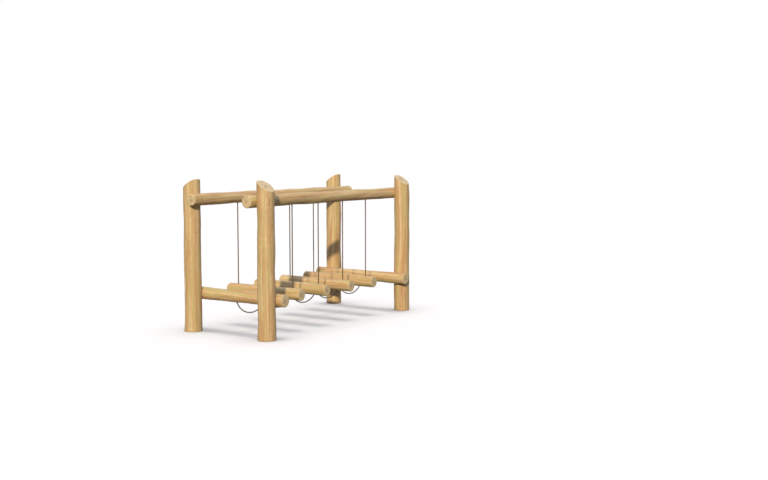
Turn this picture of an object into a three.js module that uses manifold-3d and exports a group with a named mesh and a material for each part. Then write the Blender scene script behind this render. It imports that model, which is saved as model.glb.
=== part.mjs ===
// A playground bridge of hanging logs. Four round posts carry two overhead rails and two fixed low
// cross-logs. Four loose logs hang between the rails, each on two vertical ropes, and a slack rope
// loop links each log to the next. Whoever crosses steps from log to log and holds the ropes or rails.
//
// Millimetres. +X runs along the bridge from its near end to its far end, +Y to its left side and +Z
// up. The origin is on the ground, in the middle of the four posts.
import * as THREE from "three";
import { mergeVertices } from "three/addons/utils/BufferGeometryUtils.js";
import Module from "manifold-3d";

const wasm = await Module();
wasm.setup();

// Frame
const POST_X = 1548; // post centres from the origin
const POST_Y = 626;
const POST_HEIGHT = 2000;
const POST_FOOT_RADIUS = 119;
const POST_BUTT_RADIUS = 115; // above the slight flare of the foot
const POST_TOP_RADIUS = 112;
const FLARE_HEIGHT = 260;
const TOP_LEVEL = 17; // width of the level strip along the high inner edge of a post's top
const TOP_FALL = 139; // from that strip down to the low outer edge
const RAIL_Y = 469;
const RAIL_Z = 1737;
const RAIL_RADIUS = 79;
const RAIL_LENGTH = 3460;
const CROSS_X = 1391;
const CROSS_RADIUS = 82;
const CROSS_LENGTH = 1600;

// Hanging logs, evenly spaced between the two cross-logs
const LOG_COUNT = 4;
const LOG_PITCH = (2 * CROSS_X) / (LOG_COUNT + 1);
const LOG_Z = 490; // the cross-logs' height too
const LOG_RADIUS = 80;
const LOG_LENGTH = 1240;
const EDGE = 10; // chamfer round each sawn end
const TIMBER_SIDES = 24;
const NOTCH_SIDES = 48;

// Ropes and their swaged ferrules
const ROPE_RADIUS = 8;
const ROPE_BORE_RADIUS = 9.5;
const HANGER_SIDES = 12;
const LINK_SIDES = 8;
const LINK_STEPS = 20;
const FERRULE_RADIUS = 15;
const FERRULE_LENGTH = 42;
const FERRULE_CHAMFER = [3, 4]; // across and along
const FERRULE_POCKET_RADIUS = 17.5;
const FERRULE_POCKET_DEPTH = 56;
const ROPE_TAIL = 3; // rope past the outer face of a ferrule
const LINK_SIDE_STEP = 13; // a link leaves one log this far to the left, and meets the next as far right

// Route of one link rope from the middle of its loop into the log ahead: [along, up from the ground].
// The other half is its mirror image.
const LINK_HALF_ROUTE = [
  [0, 245],
  [42, 248],
  [83, 256.5],
  [123, 271],
  [160, 290],
  [194, 314],
  [224, 342.5],
  [248, 371.5],
  [264, 396],
  [272, 410.5],
  [280, 426],
  [288, 441.5],
];
const LINK_STRAIGHT = 4; // the last points are inside the log, and keep to one side of it
const LINK_BORE_PAST_ROPE = 4;
const LINK_BORE_OUTSIDE = 40;

// Coach screws, with their heads sunk in the log and hidden by a timber plug
const SCREW_RADIUS = 8;
const SCREW_HOLE_RADIUS = 8.7;
const SCREW_HEAD_RADIUS = 15;
const SCREW_HEAD_DEPTH = 40; // from the log's surface to the underside of the head
const SCREW_HEAD_HEIGHT = 10;
const SCREW_HEAD_CHAMFER = 3;
const SCREW_LENGTH = 225;
const SCREW_POINT = 14;
const SCREW_HOLE_CLEARANCE = 6; // of a blind hole past its screw's point
const PLUG_RADIUS = 17;
const PLUG_LENGTH = 24;
const PLUG_SET_BACK = 2.2; // of the plug's face from the crown of the round log
const PLUG_HOLE_RADIUS = 17.5;
const SMALL_SIDES = 12;
const HOLE_SIDES = 16;

const GAP = 0.3; // between pieces that touch
const OVERRUN = 60; // of a cutting tool past the surface that it cuts
const NOTCH_HALF_LENGTH = 180;

// Each call of one of these makes a new material.
const finish = (color, roughness, metalness = 0) => () =>
  new THREE.MeshStandardMaterial({ color, roughness, metalness });
const timberMaterial = finish(0xd0a870, 0.8);
const plugMaterial = finish(0xdcbd88, 0.85);
const ropeMaterial = finish(0x7a6a58, 0.9);
const steelMaterial = finish(0xa9acae, 0.35, 1);

const ALONG_X = new THREE.Matrix4().makeRotationZ(-Math.PI / 2);
const ALONG_Y = new THREE.Matrix4();
const ALONG_Z = new THREE.Matrix4().makeRotationX(Math.PI / 2);

// A three.js geometry as a manifold solid, and back.
function solidOf(geometry) {
  const bare = geometry.index ? geometry.toNonIndexed() : geometry.clone();
  bare.deleteAttribute("normal");
  bare.deleteAttribute("uv");
  const merged = mergeVertices(bare, 1e-3);
  return new wasm.Manifold(
    new wasm.Mesh({
      numProp: 3,
      vertProperties: merged.attributes.position.array,
      triVerts: new Uint32Array(merged.index.array),
    }),
  );
}

function geometryOf(solid) {
  const mesh = solid.getMesh();
  const geometry = new THREE.BufferGeometry();
  geometry.setAttribute("position", new THREE.BufferAttribute(mesh.vertProperties, 3));
  geometry.setIndex(new THREE.BufferAttribute(mesh.triVerts, 1));
  geometry.computeVertexNormals();
  return geometry;
}

const cut = (geometry, ...tools) =>
  geometryOf(tools.reduce((solid, tool) => solid.subtract(solidOf(tool)), solidOf(geometry)));

// A round bar from one point to another.
function bar(radius, from, to, sides = HOLE_SIDES) {
  const start = new THREE.Vector3(...from);
  const run = new THREE.Vector3(...to).sub(start);
  const up = new THREE.Vector3(0, 1, 0);
  const turn = new THREE.Quaternion().setFromUnitVectors(up, run.clone().normalize());
  return new THREE.CylinderGeometry(radius, radius, run.length(), sides)
    .applyQuaternion(turn)
    .translate(...start.addScaledVector(run, 0.5).toArray());
}

// A turned solid. Its profile is [radius, distance along its axis] pairs, and starts and ends on the axis
// or closes on itself. The lathe turns about Y, and axis sets it along another.
const turned = (profile, axis, sides) =>
  new THREE.LatheGeometry(
    profile.map(([radius, along]) => new THREE.Vector2(radius, along)),
    sides,
  ).applyMatrix4(axis);

// A peeled log with chamfered ends, centred on the origin.
const log = (radius, length, axis) =>
  turned(
    [
      [0, -length / 2],
      [radius - EDGE, -length / 2],
      [radius, -length / 2 + EDGE],
      [radius, length / 2 - EDGE],
      [radius - EDGE, length / 2],
      [0, length / 2],
    ],
    axis,
    TIMBER_SIDES,
  );

// What the saw takes off a post's top: all that is above a line that is level along the inner edge and
// then falls straight to the outer edge. side is +1 where outward is +Y.
function topWaste(side) {
  const edge = POST_TOP_RADIUS + OVERRUN;
  const fallStart = TOP_LEVEL - POST_TOP_RADIUS;
  const slope = TOP_FALL / (POST_TOP_RADIUS - fallStart);
  const above = POST_HEIGHT + OVERRUN;
  const shape = new THREE.Shape();
  shape.moveTo(-edge, above);
  shape.lineTo(-edge, POST_HEIGHT);
  shape.lineTo(fallStart, POST_HEIGHT);
  shape.lineTo(edge, POST_HEIGHT - slope * (edge - fallStart));
  shape.lineTo(edge, above);
  const waste = new THREE.ExtrudeGeometry(shape, { depth: 2 * edge, bevelEnabled: false });
  waste.translate(0, 0, -edge); // outward is +X and up is +Y here
  waste.rotateX(Math.PI / 2);
  waste.rotateZ((side * Math.PI) / 2);
  return waste;
}

// Where a screw's shank ends, measured from the surface of the log that its head is sunk in.
const SCREW_REACH = SCREW_HEAD_DEPTH + SCREW_LENGTH;

// The tools that bore a log for a screw, from the surface point inwards along a unit direction.
function screwTools(surface, inward) {
  const at = (depth) => surface.map((value, i) => value + depth * inward[i]);
  return [
    bar(PLUG_HOLE_RADIUS, at(-OVERRUN), at(SCREW_HEAD_DEPTH + GAP)),
    bar(SCREW_HOLE_RADIUS, at(SCREW_HEAD_DEPTH), at(SCREW_REACH + OVERRUN)),
  ];
}

// A post, with its foot's centre at the origin. end is +1 at the far end and -1 at the near end, side is
// +1 on the left and -1 on the right. The rail and the cross-log are let into it from the inside.
function post(end, side) {
  const trunk = turned(
    [
      [0, 0],
      [POST_FOOT_RADIUS - EDGE, 0],
      [POST_FOOT_RADIUS, EDGE],
      [POST_BUTT_RADIUS, FLARE_HEIGHT],
      [POST_TOP_RADIUS, POST_HEIGHT + EDGE],
      [0, POST_HEIGHT + EDGE],
    ],
    ALONG_Z,
    TIMBER_SIDES,
  );
  const railY = side * (RAIL_Y - POST_Y);
  const crossX = end * (CROSS_X - POST_X);
  const railScrewEnd = railY + side * (SCREW_REACH - RAIL_RADIUS + SCREW_HOLE_CLEARANCE);
  const crossScrewEnd = crossX + end * (SCREW_REACH - CROSS_RADIUS + SCREW_HOLE_CLEARANCE);
  const reach = NOTCH_HALF_LENGTH;
  return cut(
    trunk,
    topWaste(side),
    bar(RAIL_RADIUS + GAP, [-reach, railY, RAIL_Z], [reach, railY, RAIL_Z], NOTCH_SIDES),
    bar(CROSS_RADIUS + GAP, [crossX, -reach, LOG_Z], [crossX, reach, LOG_Z], NOTCH_SIDES),
    bar(SCREW_HOLE_RADIUS, [0, railY, RAIL_Z], [0, railScrewEnd, RAIL_Z]),
    bar(SCREW_HOLE_RADIUS, [crossX, 0, LOG_Z], [crossScrewEnd, 0, LOG_Z]),
  );
}

// Positions of the hanging logs along the bridge.
const logX = Array.from({ length: LOG_COUNT }, (_, i) => -CROSS_X + (i + 1) * LOG_PITCH);

// The left rail, centred on the origin, with the walkway on its -Y side. Turned half round it is the
// right one.
function rail() {
  const top = RAIL_RADIUS;
  const bores = logX.flatMap((x) => [
    bar(ROPE_BORE_RADIUS, [x, 0, -RAIL_RADIUS - OVERRUN], [x, 0, RAIL_RADIUS]),
    bar(FERRULE_POCKET_RADIUS, [x, 0, top - FERRULE_POCKET_DEPTH], [x, 0, top + OVERRUN]),
  ]);
  const screws = [-POST_X, POST_X].flatMap((x) => screwTools([x, -RAIL_RADIUS, 0], [0, 1, 0]));
  return cut(log(RAIL_RADIUS, RAIL_LENGTH, ALONG_X), ...bores, ...screws);
}

// The straight bore for the end of a link rope, in a log centred on the origin. direction is +1 for the
// link that runs ahead from the log and -1 for the one that comes from behind.
function linkBore(direction) {
  const [[x0, z0], [x1, z1]] = LINK_HALF_ROUTE.slice(-2).map(([x, z]) => [x - LOG_PITCH / 2, z - LOG_Z]);
  const step = Math.hypot(x1 - x0, z1 - z0);
  const along = [(x1 - x0) / step, (z1 - z0) / step];
  const at = (distance) => [
    -direction * (x1 + distance * along[0]),
    direction * LINK_SIDE_STEP,
    z1 + distance * along[1],
  ];
  return bar(ROPE_BORE_RADIUS, at(-step - LINK_BORE_OUTSIDE), at(LINK_BORE_PAST_ROPE));
}

// The near cross-log, centred on the origin, with the walkway on its +X side. Turned half round it is the
// far one.
function crossLog() {
  const screws = [-POST_Y, POST_Y].flatMap((y) => screwTools([CROSS_RADIUS, y, 0], [-1, 0, 0]));
  return cut(log(CROSS_RADIUS, CROSS_LENGTH, ALONG_Y), linkBore(1), ...screws);
}

// A hanging log, centred on the origin. Its ferrules sit in pockets in its underside.
function hangingLog() {
  const bores = [-RAIL_Y, RAIL_Y].flatMap((y) => [
    bar(ROPE_BORE_RADIUS, [0, y, -LOG_RADIUS], [0, y, LOG_RADIUS + OVERRUN]),
    bar(FERRULE_POCKET_RADIUS, [0, y, -LOG_RADIUS - OVERRUN], [0, y, FERRULE_POCKET_DEPTH - LOG_RADIUS]),
  ]);
  return cut(log(LOG_RADIUS, LOG_LENGTH, ALONG_Y), linkBore(-1), linkBore(1), ...bores);
}

// A swaged sleeve round the end of a rope, standing on the origin.
const ferrule = () =>
  turned(
    [
      [ROPE_RADIUS + GAP, 0],
      [FERRULE_RADIUS, 0],
      [FERRULE_RADIUS, FERRULE_LENGTH - FERRULE_CHAMFER[1]],
      [FERRULE_RADIUS - FERRULE_CHAMFER[0], FERRULE_LENGTH],
      [ROPE_RADIUS + GAP, FERRULE_LENGTH],
      [ROPE_RADIUS + GAP, 0],
    ],
    ALONG_Z,
    SMALL_SIDES,
  );

// A coach screw along +Y: the underside of its head is at the origin.
const screw = () =>
  turned(
    [
      [0, -SCREW_HEAD_HEIGHT],
      [SCREW_HEAD_RADIUS - SCREW_HEAD_CHAMFER, -SCREW_HEAD_HEIGHT],
      [SCREW_HEAD_RADIUS, -SCREW_HEAD_HEIGHT + SCREW_HEAD_CHAMFER],
      [SCREW_HEAD_RADIUS, 0],
      [SCREW_RADIUS, 0],
      [SCREW_RADIUS, SCREW_LENGTH - SCREW_POINT],
      [0, SCREW_LENGTH],
    ],
    ALONG_Y,
    SMALL_SIDES,
  );

// The timber plug over a screw, along +Y from its outer face at the origin.
const plug = () =>
  turned(
    [
      [0, 0],
      [PLUG_RADIUS, 0],
      [PLUG_RADIUS, PLUG_LENGTH],
      [0, PLUG_LENGTH],
    ],
    ALONG_Y,
    HOLE_SIDES,
  );

const clampUnit = (value) => Math.max(-1, Math.min(1, value));

// The route of a link rope about the middle of its gap. It steps from the left of the middle at its near
// end to the right at its far end.
function linkCurve() {
  const behind = LINK_HALF_ROUTE.slice(1).map(([x, z]) => [-x, z]).reverse();
  const reach = LINK_HALF_ROUTE.at(-LINK_STRAIGHT)[0];
  const points = [...behind, ...LINK_HALF_ROUTE].map(
    ([x, z]) => new THREE.Vector3(x, -LINK_SIDE_STEP * Math.sin((Math.PI / 2) * clampUnit(x / reach)), z),
  );
  return new THREE.CatmullRomCurve3(points);
}

function linkRope() {
  const section = new THREE.Shape();
  for (let i = 0; i < LINK_SIDES; i++) {
    const angle = (2 * Math.PI * i) / LINK_SIDES;
    section[i ? "lineTo" : "moveTo"](ROPE_RADIUS * Math.cos(angle), ROPE_RADIUS * Math.sin(angle));
  }
  const extrudePath = linkCurve();
  return new THREE.ExtrudeGeometry(section, { steps: LINK_STEPS, bevelEnabled: false, extrudePath });
}

// Assembly
const bridge = new THREE.Group();

function add(parent, name, geometry, material, x, y, z, turn = 0) {
  const mesh = new THREE.Mesh(geometry, material);
  mesh.name = name;
  mesh.position.set(x, y, z);
  mesh.rotation.z = turn;
  parent.add(mesh);
}

const ENDS = [["near", -1], ["far", 1]];
const SIDES = [["left", 1], ["right", -1]];

for (const [sideName, side] of SIDES) {
  const halfTurn = side > 0 ? 0 : Math.PI;
  add(bridge, `top_rail_${sideName}`, rail(), timberMaterial(), 0, side * RAIL_Y, RAIL_Z, halfTurn);
}

for (const [endName, end] of ENDS) {
  const halfTurn = end < 0 ? 0 : Math.PI;
  add(bridge, `cross_log_${endName}`, crossLog(), timberMaterial(), end * CROSS_X, 0, LOG_Z, halfTurn);

  for (const [sideName, side] of SIDES) {
    const corner = `${endName}_${sideName}`;
    const x = end * POST_X;
    const y = side * POST_Y;
    add(bridge, `post_${corner}`, post(end, side), timberMaterial(), x, y, 0);

    // The screws run outwards from the walkway side.
    const railFace = RAIL_Y - RAIL_RADIUS;
    const headY = side * (railFace + SCREW_HEAD_DEPTH);
    const plugY = side * (railFace + PLUG_SET_BACK);
    const outwardY = side > 0 ? 0 : Math.PI;
    add(bridge, `rail_screw_${corner}`, screw(), steelMaterial(), x, headY, RAIL_Z, outwardY);
    add(bridge, `rail_plug_${corner}`, plug(), plugMaterial(), x, plugY, RAIL_Z, outwardY);

    const crossFace = CROSS_X - CROSS_RADIUS;
    const headX = end * (crossFace + SCREW_HEAD_DEPTH);
    const plugX = end * (crossFace + PLUG_SET_BACK);
    const outwardX = (-end * Math.PI) / 2;
    add(bridge, `cross_screw_${corner}`, screw(), steelMaterial(), headX, y, LOG_Z, outwardX);
    add(bridge, `cross_plug_${corner}`, plug(), plugMaterial(), plugX, y, LOG_Z, outwardX);
  }
}

// Each hanging log, its two ropes and their ferrules, about the log's place on the ground.
const upperSeat = RAIL_Z + RAIL_RADIUS - FERRULE_POCKET_DEPTH + GAP;
const lowerSeat = LOG_Z - LOG_RADIUS + FERRULE_POCKET_DEPTH - GAP;
const ropeTop = upperSeat + FERRULE_LENGTH + ROPE_TAIL;
const ropeBottom = lowerSeat - FERRULE_LENGTH - ROPE_TAIL;

logX.forEach((x, i) => {
  const station = new THREE.Group();
  station.position.x = x;
  bridge.add(station);
  add(station, `swing_log_${i + 1}`, hangingLog(), timberMaterial(), 0, 0, LOG_Z);

  for (const [sideName, side] of SIDES) {
    const label = `${i + 1}_${sideName}`;
    const y = side * RAIL_Y;
    const rope = bar(ROPE_RADIUS, [0, 0, ropeBottom], [0, 0, ropeTop], HANGER_SIDES);
    add(station, `hanger_rope_${label}`, rope, ropeMaterial(), 0, y, 0);
    add(station, `upper_ferrule_${label}`, ferrule(), steelMaterial(), 0, y, upperSeat);
    add(station, `lower_ferrule_${label}`, ferrule().rotateX(Math.PI), steelMaterial(), 0, y, lowerSeat);
  }
});

// The link ropes, one in each gap between the six low logs.
const logNames = ["near", ...logX.map((_, i) => `${i + 1}`), "far"];
for (let i = 0; i <= LOG_COUNT; i++) {
  const middle = -CROSS_X + (i + 0.5) * LOG_PITCH;
  add(bridge, `link_rope_${logNames[i]}_${logNames[i + 1]}`, linkRope(), ropeMaterial(), middle, 0, 0);
}

export default bridge;
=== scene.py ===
import math

import bpy
import numpy as np
from mathutils import Matrix, Vector


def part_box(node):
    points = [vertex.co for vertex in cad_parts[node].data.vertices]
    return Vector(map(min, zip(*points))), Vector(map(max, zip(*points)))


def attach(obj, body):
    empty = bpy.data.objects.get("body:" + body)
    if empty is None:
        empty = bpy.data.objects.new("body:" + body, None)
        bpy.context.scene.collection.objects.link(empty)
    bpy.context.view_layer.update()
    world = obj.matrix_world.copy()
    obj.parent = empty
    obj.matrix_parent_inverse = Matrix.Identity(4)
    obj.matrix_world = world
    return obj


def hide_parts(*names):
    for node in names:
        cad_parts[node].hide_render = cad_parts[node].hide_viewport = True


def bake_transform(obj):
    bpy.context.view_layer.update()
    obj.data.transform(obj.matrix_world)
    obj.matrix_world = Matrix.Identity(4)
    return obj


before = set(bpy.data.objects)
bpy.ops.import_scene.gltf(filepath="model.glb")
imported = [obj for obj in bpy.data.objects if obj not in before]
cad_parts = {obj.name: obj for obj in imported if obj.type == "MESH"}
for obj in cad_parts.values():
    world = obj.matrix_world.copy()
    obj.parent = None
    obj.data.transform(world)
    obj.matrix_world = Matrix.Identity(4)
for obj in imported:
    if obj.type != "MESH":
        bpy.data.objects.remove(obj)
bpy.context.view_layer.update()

TURN = 2 * math.pi
SIDES = {"left": 1, "right": -1}
ENDS = {"near": -1, "far": 1}
LOG_COUNT = 4

# Shape of the timbers
EDGE = 0.013  # rounding of each sawn end
POST_EDGE = 0.008
COLUMNS = 120
CREASE = 35  # degrees between faces, above which their edge is hard
ROW_STEP = 0.012
CAP_ROWS = 14
RIM_ROWS = 6
ALLOWANCE = 0.0022  # how far the mean peeled surface is inside the true round
SAW_MARKS = 0.0007
SAW_PACE = 420  # radians a metre across the marks
SAW_ANGLE = 0.7  # the way across them
SAW_SHIFT = 3  # times a log's twist, so that no two logs have the same marks
WAVES = [  # lobes round the log, height, shortest and longest wave along it
    (0, 0.0012, 0.45, 1.00),
    (1, 0.0024, 0.90, 1.70),
    (1, 0.0010, 0.40, 0.65),
    (2, 0.0015, 0.60, 1.30),
    (3, 0.0009, 0.40, 0.90),
    (5, 0.0005, 0.25, 0.50),
    (7, 0.0003, 0.18, 0.36),
]
WAVE_DRAW = (0.75, 1.1)  # a log's own share of those heights
DRESSED_HALF = 0.125  # half the stretch where a log is dressed to its true round for a joint
DRESSED_FADE = 0.10
MOST_TWIST = 0.16  # of the grain round the log, radians a metre
PITH_WANDER = (0.004, 0.009)
PITH_WAVE = (1.2, 2.6)
KNOT_RADIUS = (0.011, 0.018)
KNOT_RISE = 0.0022
KNOT_REACH = 0.1  # from the pith to the surface, for the width of that rise
KNOT_RISE_WIDTH = 1.7  # from its middle, in radii of the knot
KNOT_RISE_STRETCH = 1.4  # how much longer than wide it is
KNOT_SLOT = (0.25, 0.75)  # where a knot is within its own share of the log's length
PARTING_WIDTH = 1.5  # how far from a knot its fibres part, in radii of the knot
PARTING_STRETCH = 2.4
PARTING_FALL = 1.5  # power by which that fades
CHECK_COUNT = 3  # drying checks in each log
CHECK_SLOT = (0.2, 0.8)  # where a check is within its own share of the log's girth
CHECK_STARTS = (-0.3, 0.35, 0.75)  # as shares of the log's length
CHECK_DELAY = (0, 0.12)  # drawn on top of that start
CHECK_RUN = (0.22, 0.5)
CHECK_TAPER = 0.35  # share of its run over which a check deepens, at each end
CHECK_DEPTH = (0.004, 0.008)
CHECK_HALF_WIDTH = 0.0011
CHECK_CLEAR = 2  # half widths round a check in which the grid has no other columns
CHECK_SHADE_WIDTH = 0.6  # how far from its middle a check gets painted shade, in half widths
CHECK_SHADE_DEPTH = 0.004  # from which its painted shade is full
CHECK_SHADE_LEAST_DEPTH = 0.0005  # from which it gets any painted shade
END_CHECK_DEPTH = 0.005  # of the radial checks in a sawn end
END_CHECK_START = 0.12  # as a share of the radius, as is the next
END_CHECK_FADE = 0.25
END_CHECK_SINK = 1.5  # depth of a check into a sawn face, in depths of it into the side
POST_FOOT_RADIUS = 0.119
POST_BUTT_RADIUS = 0.115
POST_TOP_RADIUS = 0.112
FLARE_HEIGHT = 0.26
TOP_LEVEL = 0.017  # width of the level strip along the high inner edge of a post's top
TOP_FALL = 0.139  # from that strip down to the low outer edge
TOP_CORNER = 0.010  # rounding where the two meet
TOP_START = 0.34  # the rows of a post lean into its slanted top over this much of its length

# Joints between the timbers
GAP = 0.0003
ROPE_BORE = 0.0095
POCKET_RADIUS = 0.0175
POCKET_DEPTH = 0.056
PLUG_HOLE_RADIUS = 0.0175
SCREW_HEAD_DEPTH = 0.040
SCREW_HOLE_RADIUS = 0.0087
SCREW_REACH = 0.265  # from the surface of the log that a screw's head is sunk in to its point
SCREW_CLEARANCE = 0.006
OVERRUN = 0.06
CUTTER_SIDES = 96
MOUTH_FLARE = 0.0015  # of a bore
NOTCH_HALF_LENGTH = 0.2
NOTCH_ROWS = 60
LINK_BORE_OUTSIDE = 0.06
LINK_BORE_PAST_ROPE = 0.004

# Fittings: swaged ferrules, and coach screws under timber plugs
FERRULE_RADIUS = 0.015
FERRULE_BORE = 0.0083
FERRULE_LENGTH = 0.042
FERRULE_COLUMNS = 48
FERRULE_ROWS = 27
FERRULE_EDGE = [(0.0032, 0.0), (0.0016, 0.0008), (0.0004, 0.0026)]  # worn round: inset, height
FERRULE_EDGE_HEIGHT = 0.0045
FERRULE_BORE_BEVEL = 0.0004
FERRULE_BORE_EDGE = 0.0005
PRESS_MARKS = 3
PRESS_FLATS = 6
PRESS_DEPTH = 0.035  # of a press mark, as a share of the radius
PLUG_RADIUS = 0.017
PLUG_LENGTH = 0.024
PLUG_COLUMNS = 64
PLUG_ROWS = 12
PLUG_FACE = (0.25, 0.5, 0.75, 0.94)  # its rings, as shares of the radius
PLUG_CROWN = 0.0004  # how far its middle stands above the rim of its face
PLUG_EDGE = 0.0016  # rounding of its rim, and inset of its inner end
PLUG_LEAD = 0.0022  # height of the taper at its inner end
PLUG_FLUTES = 16
FLUTE_DEPTH = 0.012  # as a share of the radius
FLUTE_START = 0.004
FLUTE_FADE = 0.002
SCREW_RADIUS = 0.008
SCREW_LENGTH = 0.235  # with its head
SCREW_POINT = 0.014
SCREW_POINT_ROWS = 14
SCREW_BLUNT = 0.95  # how far along the point its last ring is
SCREW_COLUMNS = 36
FLANGE_RADIUS = 0.015
FLANGE_HEIGHT = 0.003
FLANGE_FOOT = [(0.0006, 0.0002), (0.0, 0.0010)]  # where the hexagon meets it: inset, height
FLANGE_EDGE = 0.0004
HEX_RADIUS = 0.0135  # to its corners
HEX_CROWN = [(0.55, 0.0), (0.84, 0.0002)]  # domed top: share of that radius, height
HEX_CHAMFER = 0.0016
HEAD_HEIGHT = 0.010
SCREW_PLAIN_ROWS = (HEAD_HEIGHT + 0.0002, 0.03, 0.06)  # along the smooth part of the shank
THREAD_START = 0.085
THREAD_PITCH = 0.005
THREAD_DEPTH = 0.18  # as a share of the radius
THREAD_CREST = 0.55  # width of its ridge at the foot, as a share of the pitch
THREAD_STEP = 0.001

# Ropes
ROPE_RADIUS = 0.008
STRANDS = 6
STRAND_COLUMNS = 7
ROPE_LAY = 0.105  # length in which a strand goes once round the rope
ROPE_STEP = 0.005
ROPE_CREASE = 60
CURVE_STEPS = 24  # between two points of a route
GROOVE = 0.22  # depth between strands, as a share of the rope's radius
LINK_SIDE_STEP = 0.013
LINK_HALF_ROUTE = [  # from the middle of the loop into the log ahead: along, up from the ground
    (0.000, 0.2450),
    (0.042, 0.2480),
    (0.083, 0.2565),
    (0.123, 0.2710),
    (0.160, 0.2900),
    (0.194, 0.3140),
    (0.224, 0.3425),
    (0.248, 0.3715),
    (0.264, 0.3960),
    (0.272, 0.4105),
    (0.280, 0.4260),
    (0.288, 0.4415),
]
LINK_STRAIGHT = 4  # the last points of the route run straight into the log, and keep to one side

# Patterns of the materials
RINGS = 230.0  # growth rings a metre
RING_SWAY = 2.6
LATEWOOD_START = 0.35  # as a share of a ring, as are the next three
PLUG_LATEWOOD_START = 0.3
LATEWOOD_FULL = 0.9
LATEWOOD_EDGE = 0.92
STREAKS = {  # noise drawn out along the fibres: how many a metre side by side, stretch, detail, offset
    "broad": (26, 40, 1, 0.0),
    "tint": (34, 46, 1, 5.0),
    "streak": (90, 60, 2, 9.0),
    "fibre": (420, 40, 3, 2.0),
    "warmth": (30, 50, 1, 13.0),
    "pore": (1100, 30, 2, 21.0),
}
SEED_SHIFT = 3.7  # how far apart two logs are in that noise
RAY_SPREAD = 9.0  # of the noise in the rays of a sawn end, per radian round it
RAY_RUN = 14.0  # and per metre from its pith
RAY_SCALE = 2.4
HEART_RADIUS = 0.045  # of the darker wood about the pith
WOOD_TONES = {  # a pattern's low and high values, and the tones that they give
    "fibre": (0.3, 0.7, 0.84, 1.08),
    "streak": (0.25, 0.5, 0.93, 1.0),
    "pore": (0.3, 0.6, 0.90, 1.02),
}
WOOD_ROUGHNESS = (0.3, 0.7, 0.82, 0.64)
WOOD_RELIEF = {"fibre": 0.9, "latewood": -0.35, "streak": 0.8}  # height in the bump
WOOD_BUMP = (0.35, 0.0012)  # strength, distance
WHORL_PACE = 26.0  # radians from a knot's edge to its core
KNOT_CORE = (0.45, 0.85, 0, 0.40)
KNOT_WHORLS = (0.30, 0.55, 0, 0.20)
END_TURN = (0.55, 0.85)  # how far a surface faces along the log, from where it looks like a sawn end
PLUG_PITH = (0.05, 0.01, 0.0)  # from the middle of its growth rings to the middle of its face
PLUG_RINGS = 420.0
PLUG_SWAY = 60  # noise scales
PLUG_FINE = 1400
PLUG_GRAIN_SHARE = 0.8
PLUG_TONES = (0.3, 0.7, 0.85, 1.05)
PLUG_ROUGHNESS = (0.3, 0.7, 0.85, 0.68)
PLUG_BUMP = (0.4, 0.0005)
STRAND_FUZZ = (9.0, 700.0)  # noise scales across a strand and along the rope
STRAND_WEAR = 14.0
STRAND_CROWN = (0.1, 0.75)  # from its groove, which carries painted shade, to the top of a strand
WEAR_SHIFT = 4.0
YARN_RELIEF = 0.5
YARN_SLANT = 10.0  # radians across a strand
YARN_PACE = 2600.0  # radians a metre
YARN_TONES = (-1, 1, 0.80, 1.08)
FUZZ_TONES = (0.3, 0.7, 0.80, 1.15)
WEAR_TONES = (0.3, 0.7, 0.88, 1.10)
ROPE_BUMP = (0.6, 0.0006)
STEEL_CLOUDS = (0.35, 0.65)
STEEL_SHADE = 0.78  # of its clouds
STEEL_FINE = 9  # times the scale of its clouds
STEEL_SMOOTHER = 0.08
STEEL_ROUGHER = 0.12
STEEL_BUMP = (0.25, 0.0003)

# Colours, linear
PALE = (0.74, 0.54, 0.28, 1)
TAN = (0.60, 0.38, 0.17, 1)
AMBER = (0.53, 0.27, 0.11, 1)
STRAW = (0.57, 0.47, 0.19, 1)
KNOT = (0.24, 0.12, 0.05, 1)
# Painted shade laid into the drying checks.
CHECK_PAINTED_SHADE = (0.10, 0.055, 0.028, 1)
END_PALE = (0.87, 0.69, 0.42, 1)
END_RING = (0.42, 0.26, 0.12, 1)
END_OLIVE = (0.58, 0.46, 0.20, 1)
PLUG_PALE = (0.72, 0.52, 0.28, 1)
PLUG_GRAIN = (0.52, 0.33, 0.15, 1)
# The groove colours of the ropes are painted shade between their strands.
HANGER_BROWN = (0.23, 0.150, 0.080, 1)
HANGER_GROOVE_SHADE = (0.075, 0.046, 0.024, 1)
LINK_OLIVE = (0.23, 0.20, 0.13, 1)
LINK_GROOVE_SHADE = (0.08, 0.068, 0.042, 1)
ZINC = (0.55, 0.56, 0.57)

# Coats of colour over the pale wood: its pattern, where that starts and is full, most share, colour
SIDE_COATS = [
    ("broad", 0.40, 0.58, 1.0, TAN),
    ("tint", 0.50, 0.60, 0.85, STRAW),
    ("warmth", 0.54, 0.66, 0.75, AMBER),
    ("streak", 0.52, 0.66, 0.40, AMBER),
    ("latewood", 0, 1, 0.18, AMBER),
]
END_COATS = [
    ("tint", 0.40, 0.66, 0.7, END_OLIVE),
    ("latewood", 0, 1, 0.85, END_RING),
    ("ray", 0.5, 0.72, 0.45, END_RING),
    ("reach", HEART_RADIUS, 0.0, 0.65, END_RING),
]


def smooth(t):
    """0 where t is below 0, 1 where it is above 1, and a smooth step between."""
    t = np.clip(t, 0.0, 1.0)
    return t * t * (3 - 2 * t)


def wrapped(angle):
    """The same angle within half a turn of zero."""
    return np.mod(angle + math.pi, TURN) - math.pi


def middle(node):
    low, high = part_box(node)
    return (low + high) / 2


def size(node):
    low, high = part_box(node)
    return high - low


# --- Meshes ---


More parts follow.
